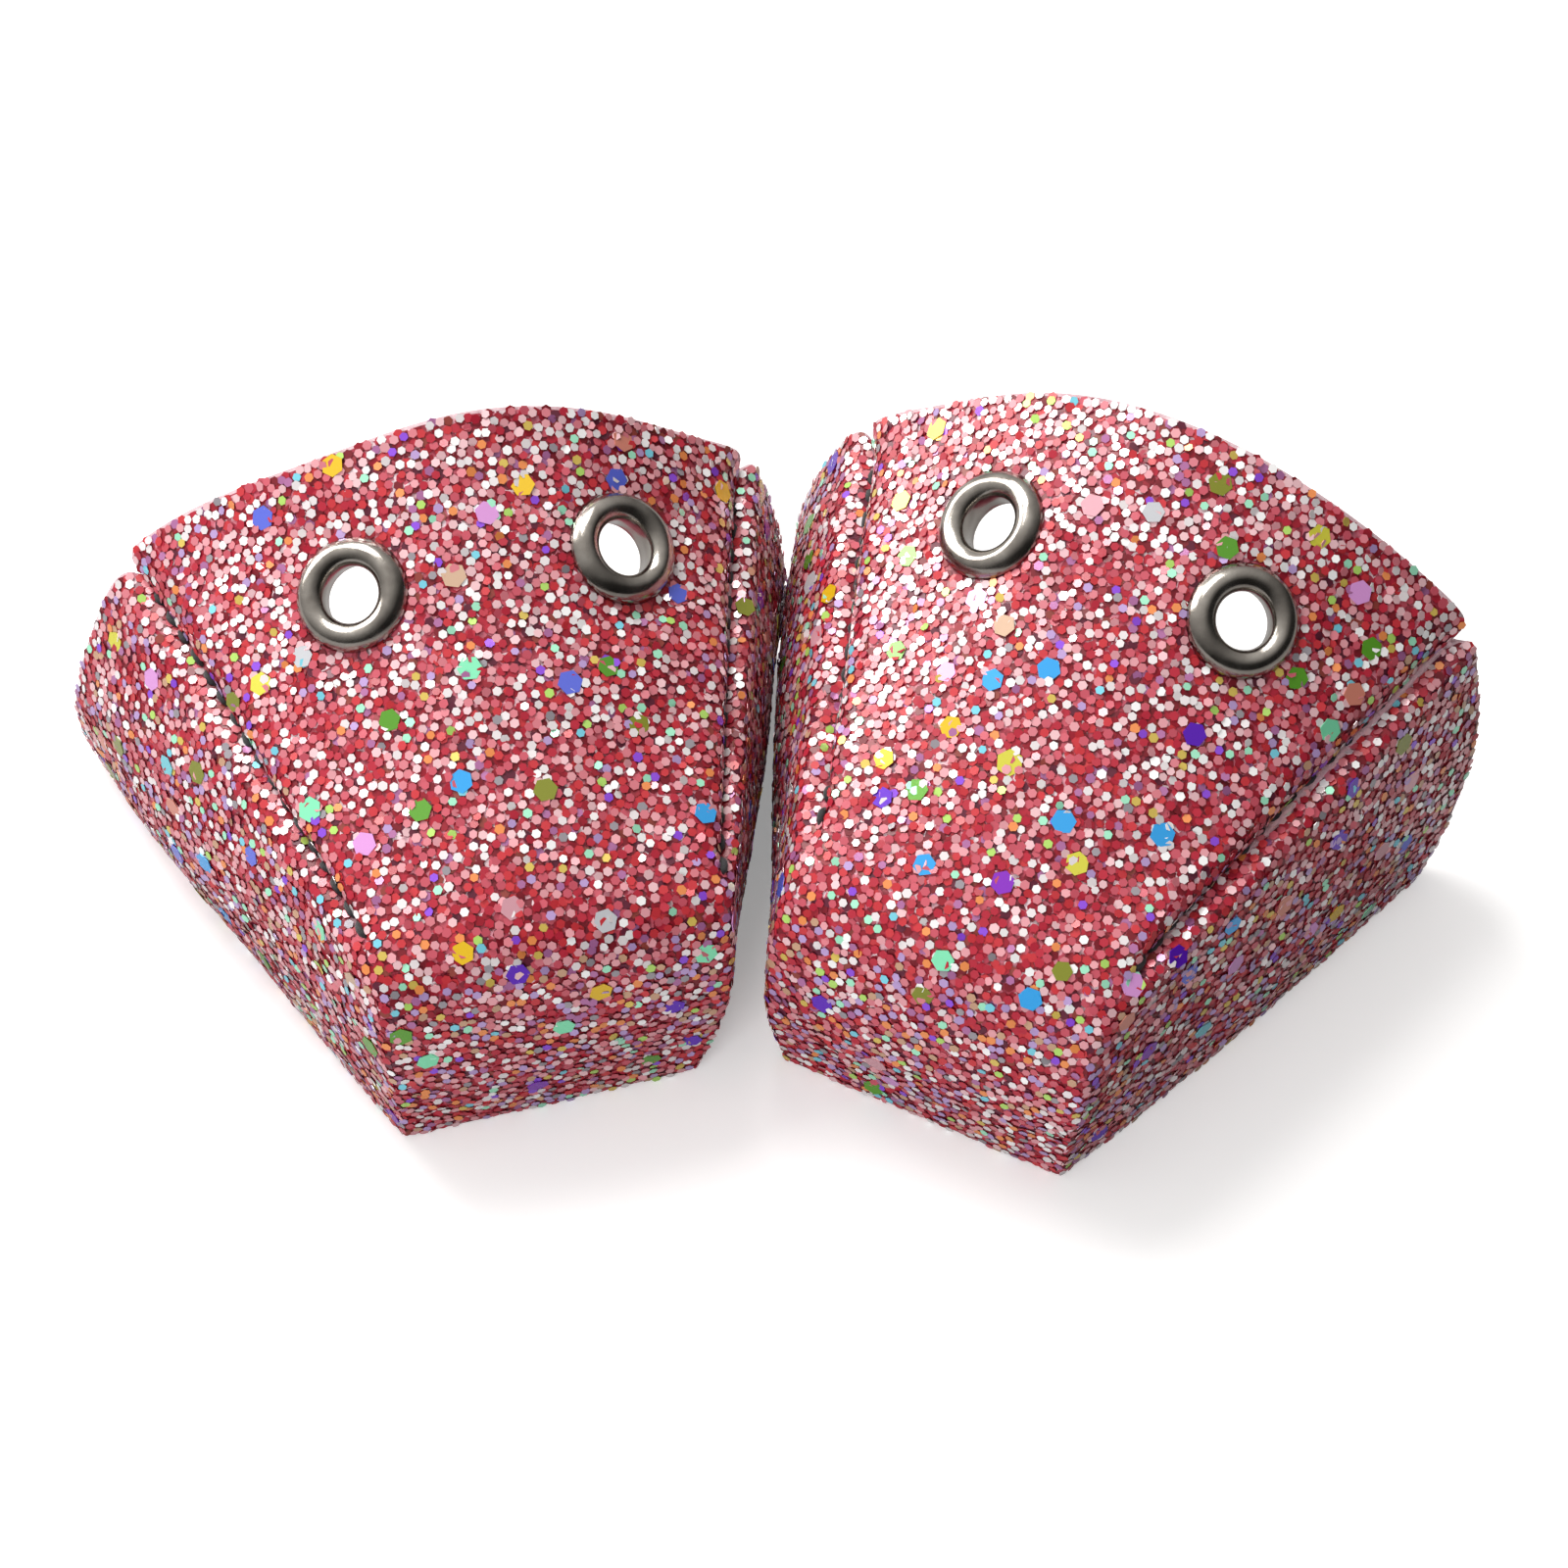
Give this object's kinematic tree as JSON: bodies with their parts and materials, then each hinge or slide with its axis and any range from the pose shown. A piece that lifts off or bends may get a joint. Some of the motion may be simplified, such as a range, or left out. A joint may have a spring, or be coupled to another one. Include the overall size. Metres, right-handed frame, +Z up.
{
  "type": "roller skate toe guards",
  "caption": "Pair of sewn glitter-leather toe guards for quad skates: arched toe pockets with metal lace eyelets and a flat sole panel holed for the toe stop.",
  "frame": {"origin": "on the ground, at the centre of the pair seen from above", "axes": "+Z up, toes towards -Y, open rear ends towards +Y, +X to the right-hand guard; the two guards fan out 37 degrees apart as they stand"},
  "size_m": [0.1528, 0.0746, 0.0507],
  "materials": {
    "glitter_leather": "chunky pink glitter film on soft synthetic leather",
    "felt_backing": "pale pink brushed felt",
    "sole_leather": "matt pink synthetic leather",
    "thread": "black polyester sewing thread",
    "nickel": "polished gunmetal nickel plate"
  },
  "bodies": {
    "left_guard": {"left_shell": "glitter_leather", "left_lining": "felt_backing", "left_base_panel": "sole_leather", "left_base_thread": "thread", "left_outer_seam_thread": "thread", "left_inner_seam_thread": "thread", "left_outer_eyelet": "nickel", "left_inner_eyelet": "nickel", "left_outer_washer": "nickel", "left_inner_washer": "nickel"},
    "right_guard": {"right_shell": "glitter_leather", "right_lining": "felt_backing", "right_base_panel": "sole_leather", "right_base_thread": "thread", "right_outer_seam_thread": "thread", "right_inner_seam_thread": "thread", "right_outer_eyelet": "nickel", "right_inner_eyelet": "nickel", "right_outer_washer": "nickel", "right_inner_washer": "nickel"}
  },
  "joints": [
    {"name": "right_guard_lifts_away", "type": "slide", "parent": "left_guard", "child": "right_guard", "axis": [1, 0, 0], "range_m": [0, 0.06]}
  ]
}
